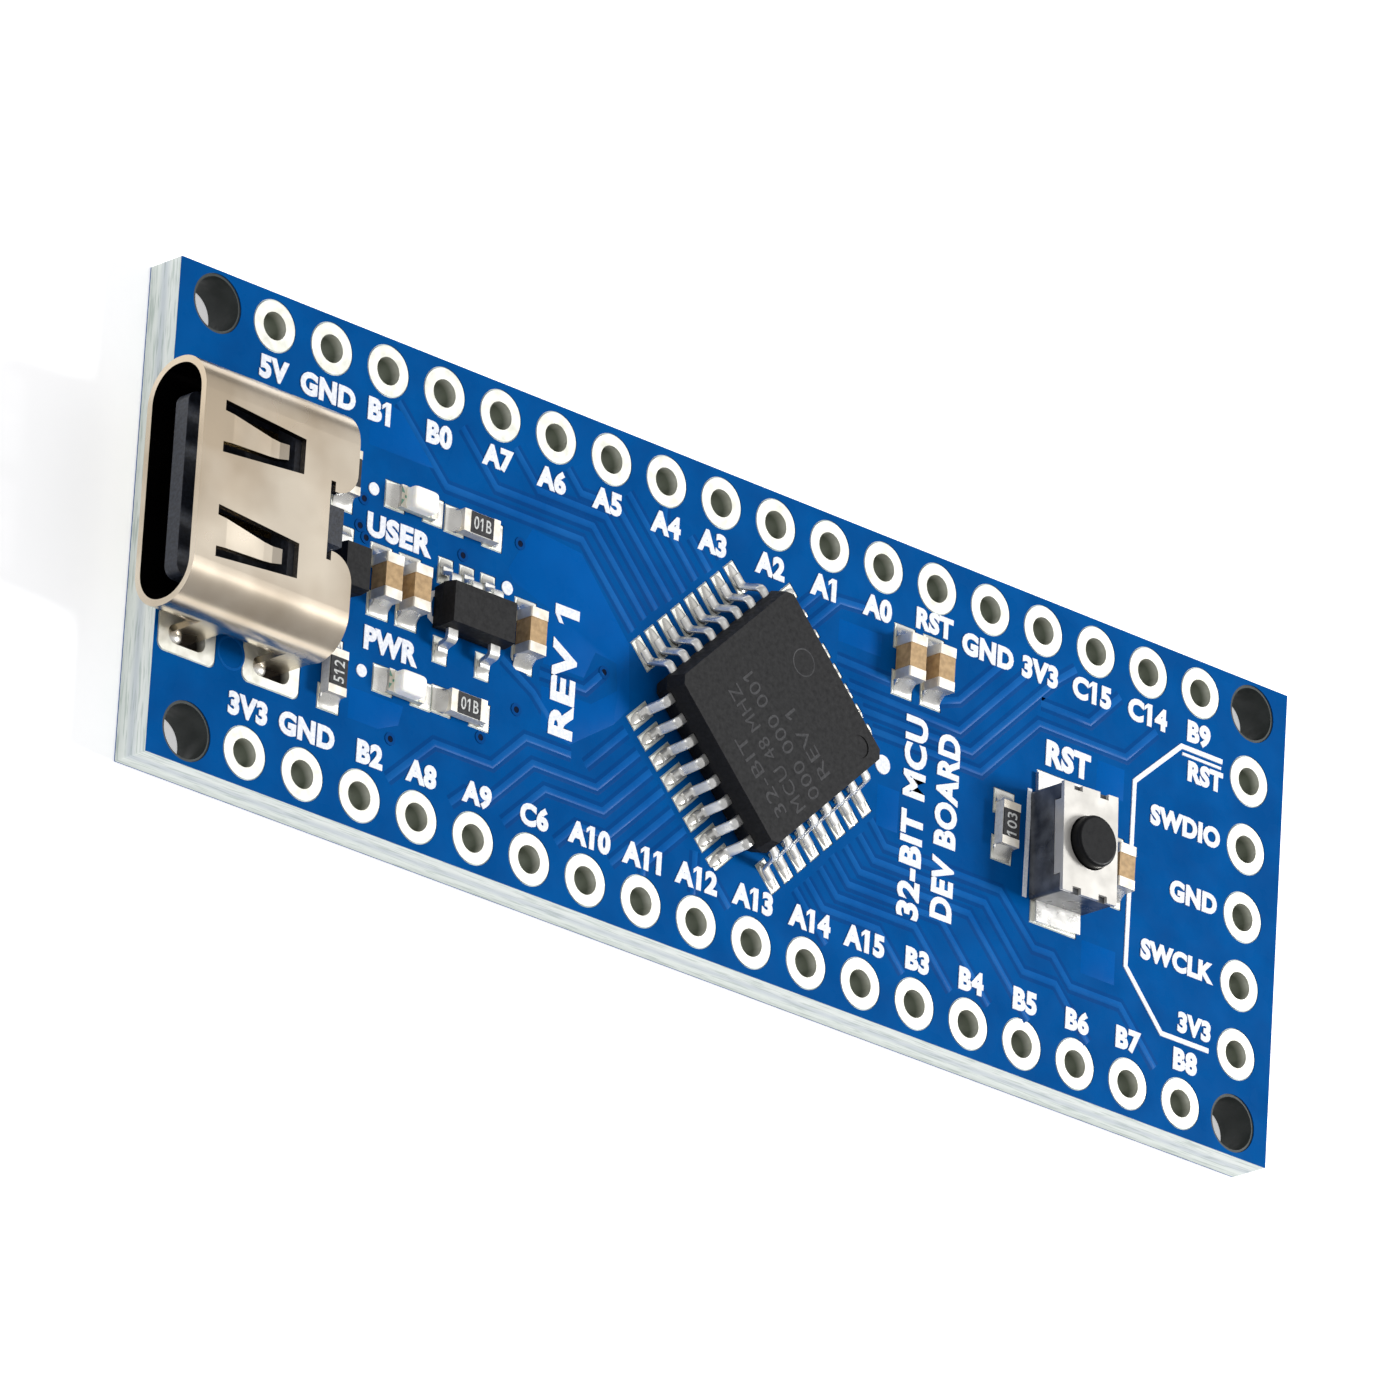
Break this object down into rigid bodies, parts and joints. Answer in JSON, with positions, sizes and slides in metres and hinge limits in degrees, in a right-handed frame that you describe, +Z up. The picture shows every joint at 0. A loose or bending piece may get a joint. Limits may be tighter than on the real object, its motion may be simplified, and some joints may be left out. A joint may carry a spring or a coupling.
{
  "type": "microcontroller development board",
  "caption": "Small blue circuit board with a USB-C connector, a square flat-pack chip turned 45 degrees, header holes along its edges, LEDs and a reset button.",
  "frame": {"origin": "centre of the rectangle of four corner mounting holes, on the board's underside", "axes": "+X along the board from the USB connector's end to the debug header's end, +Z up out of the component side"},
  "size_m": [0.0526, 0.0176, 0.0046],
  "materials": {
    "laminate": "woven glass and epoxy, machined edge",
    "solder_mask": "blue lacquer, semi-gloss",
    "solder_finish": "hot-air-levelled solder over copper",
    "nickel_shell": "warm nickel plating, smooth",
    "connector_plastic": "moulded, matt",
    "spring_steel": "bright strip",
    "gold_contact": "gold plated",
    "package_black": "fine moulded epoxy",
    "tinned_lead": "matt tin",
    "copper": "bare copper alloy",
    "silicon": "polished wafer",
    "led_crystal": "cut crystal",
    "capacitor_ceramic": "fired brown ceramic",
    "chip_terminal": "matt tin over nickel",
    "alumina": "fired white",
    "resistor_coating": "glassy black",
    "led_base": "moulded",
    "led_lens": "milky moulded resin",
    "switch_plastic": "moulded",
    "switch_cover": "bright stamped plate",
    "switch_button": "moulded"
  },
  "bodies": {
    "board": {"board_laminate": "laminate", "component_lands": "solder_finish", "debug_header_holes": "solder_finish", "decoupling_capacitor_a_body": "capacitor_ceramic", "decoupling_capacitor_a_terminals": "chip_terminal", "decoupling_capacitor_b_body": "capacitor_ceramic", "decoupling_capacitor_b_terminals": "chip_terminal", "diode_body": "package_black", "diode_terminals": "tinned_lead", "header_holes_lower_row": "solder_finish", "header_holes_upper_row": "solder_finish", "input_capacitor_a_body": "capacitor_ceramic", "input_capacitor_a_terminals": "chip_terminal", "input_capacitor_b_body": "capacitor_ceramic", "input_capacitor_b_terminals": "chip_terminal", "led_dies": "led_crystal", "lower_cc_resistor_coating": "resistor_coating", "lower_cc_resistor_slip": "alumina", "lower_cc_resistor_terminals": "chip_terminal", "mcu_body": "package_black", "mcu_die": "silicon", "mcu_die_paddle": "copper", "mcu_leads": "tinned_lead", "output_capacitor_body": "capacitor_ceramic", "output_capacitor_terminals": "chip_terminal", "power_led_base": "led_base", "power_led_lens": "led_lens", "power_led_resistor_coating": "resistor_coating", "power_led_resistor_slip": "alumina", "power_led_resistor_terminals": "chip_terminal", "power_led_terminals": "chip_terminal", "pull_up_resistor_coating": "resistor_coating", "pull_up_resistor_slip": "alumina", "pull_up_resistor_terminals": "chip_terminal", "regulator_body": "package_black", "regulator_leads": "tinned_lead", "reset_capacitor_body": "capacitor_ceramic", "reset_capacitor_terminals": "chip_terminal", "reset_switch_base": "switch_plastic", "reset_switch_contacts": "tinned_lead", "reset_switch_cover": "switch_cover", "reset_switch_dome": "spring_steel", "solder_mask_bottom": "solder_mask", "solder_mask_top": "solder_mask", "upper_cc_resistor_coating": "resistor_coating", "upper_cc_resistor_slip": "alumina", "upper_cc_resistor_terminals": "chip_terminal", "usb_insulator": "connector_plastic", "usb_leg_slots": "solder_finish", "usb_lower_contacts": "gold_contact", "usb_mid_plate": "spring_steel", "usb_shell": "nickel_shell", "usb_upper_contacts": "gold_contact", "user_led_base": "led_base", "user_led_lens": "led_lens", "user_led_resistor_coating": "resistor_coating", "user_led_resistor_slip": "alumina", "user_led_resistor_terminals": "chip_terminal", "user_led_terminals": "chip_terminal"},
    "reset_button": {"reset_switch_plunger": "switch_button"}
  },
  "joints": [
    {"name": "reset_press", "type": "slide", "parent": "board", "child": "reset_button", "axis": [0, 0, -1], "range_m": [0, 0.00025], "stiffness_N_per_m": 8000, "deforming": ["reset_switch_dome"]}
  ]
}
